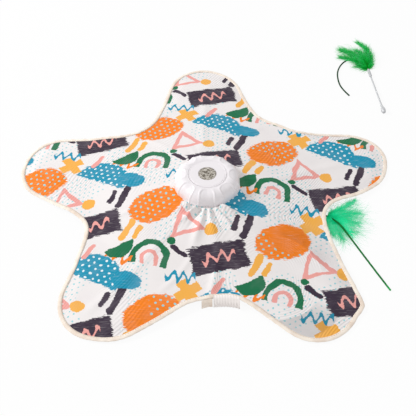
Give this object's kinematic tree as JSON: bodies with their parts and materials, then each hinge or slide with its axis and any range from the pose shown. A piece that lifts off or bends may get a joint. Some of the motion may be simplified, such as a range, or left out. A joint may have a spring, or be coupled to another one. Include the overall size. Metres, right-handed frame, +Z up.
{
  "type": "interactive feather cat toy",
  "caption": "Floor cat toy: a geared motor in a round base sweeps a wand with a feather tuft and cord tail under a star shaped printed cloth mat, held by a fluted cap with a catnip tablet.",
  "frame": {"origin": "point on the hub's axis in the plane that the feet stand on", "axes": "+Z up along the hub's axis; -Y towards the viewer; one arm of the star mat points along +Y"},
  "size_m": [0.7026, 0.7365, 0.0604],
  "materials": {
    "foot_rubber": "matt moulded rubber",
    "grommet_rubber": "soft pale rubber",
    "housing_plastic": "moulded white plastic",
    "cap_plastic": "satin white plastic",
    "gear_plastic": "natural acetal",
    "black_plastic": "moulded black plastic",
    "steel": "bright steel",
    "brass_pinion": "machined brass",
    "board": "green solder mask",
    "cell_jacket": "plain dark jacket",
    "lead_sleeve": "insulated wire",
    "pressed_herb": "pressed dried herb, grey green with flecks",
    "lining_cloth": "plain white woven cloth",
    "print_cloth": "off white woven cloth with a bright abstract print",
    "binding_tape": "cream folded tape",
    "clear_plastic": "clear flexible plastic",
    "feather_bright": "dyed emerald down",
    "feather_deep": "dyed grass green down",
    "tail_green": "dyed dark green cord"
  },
  "bodies": {
    "base": {"base_housing": "housing_plastic", "rubber_feet": "foot_rubber", "gear_deck": "housing_plastic", "deck_screws": "steel", "gear_pin": "steel", "motor": "steel", "circuit_board": "board", "board_components": "black_plastic", "switch_body": "black_plastic", "battery_cells": "cell_jacket", "battery_contacts": "steel", "leads": "lead_sleeve", "mat_carrier": "housing_plastic", "carrier_screws": "steel", "flower_cap": "cap_plastic", "cap_lid": "cap_plastic", "catnip_tablet": "pressed_herb", "mat_lining": "lining_cloth", "mat_print": "print_cloth", "mat_binding": "binding_tape", "spare_plug": "clear_plastic", "spare_rod": "clear_plastic", "spare_sleeve": "clear_plastic", "spare_tuft": "feather_deep", "spare_tail": "tail_green"},
    "rotor": {"rotor_disc": "housing_plastic", "rotor_bush": "gear_plastic", "ring_gear": "gear_plastic", "socket_grommet": "grommet_rubber", "wand_plug": "clear_plastic", "wand_rod": "clear_plastic", "wand_sleeve": "clear_plastic", "wand_tuft": "feather_bright", "wand_tail": "tail_green"},
    "output_gear": {"output_shaft": "steel", "output_wheel": "gear_plastic", "output_pinion": "gear_plastic"},
    "compound": {"compound_gear": "gear_plastic"},
    "motor_spindle": {"motor_shaft": "steel", "motor_pinion": "brass_pinion"},
    "switch": {"switch_knob": "black_plastic"},
    "door": {"battery_door": "housing_plastic"}
  },
  "joints": [
    {"name": "rotor_spin", "type": "hinge", "parent": "base", "child": "rotor", "pos_m": [0, 0, 0.029], "axis": [0, 0, 1], "continuous": true, "deforming": ["wand_tuft", "wand_tail"]},
    {"name": "output_spin", "type": "hinge", "parent": "base", "child": "output_gear", "pos_m": [0.0136, 0.02356, 0.018], "axis": [0, 0, 1], "continuous": true},
    {"name": "compound_spin", "type": "hinge", "parent": "base", "child": "compound", "pos_m": [-0.00473, 0.02516, 0.018], "axis": [0, 0, 1], "continuous": true},
    {"name": "motor_spin", "type": "hinge", "parent": "base", "child": "motor_spindle", "pos_m": [-0.02285, 0.02196, 0.0205], "axis": [0, 0, 1], "continuous": true},
    {"name": "switch_slide", "type": "slide", "parent": "base", "child": "switch", "axis": [1, 0, 0], "range_m": [0, 0.004]},
    {"name": "door_slide", "type": "slide", "parent": "base", "child": "door", "axis": [0, -1, 0], "range_m": [0, 0.044]}
  ],
  "couplings": [
    {"joint": "output_spin", "follows": "rotor_spin", "ratio": 6.6667},
    {"joint": "compound_spin", "follows": "rotor_spin", "ratio": -24},
    {"joint": "motor_spin", "follows": "rotor_spin", "ratio": 86.4}
  ]
}
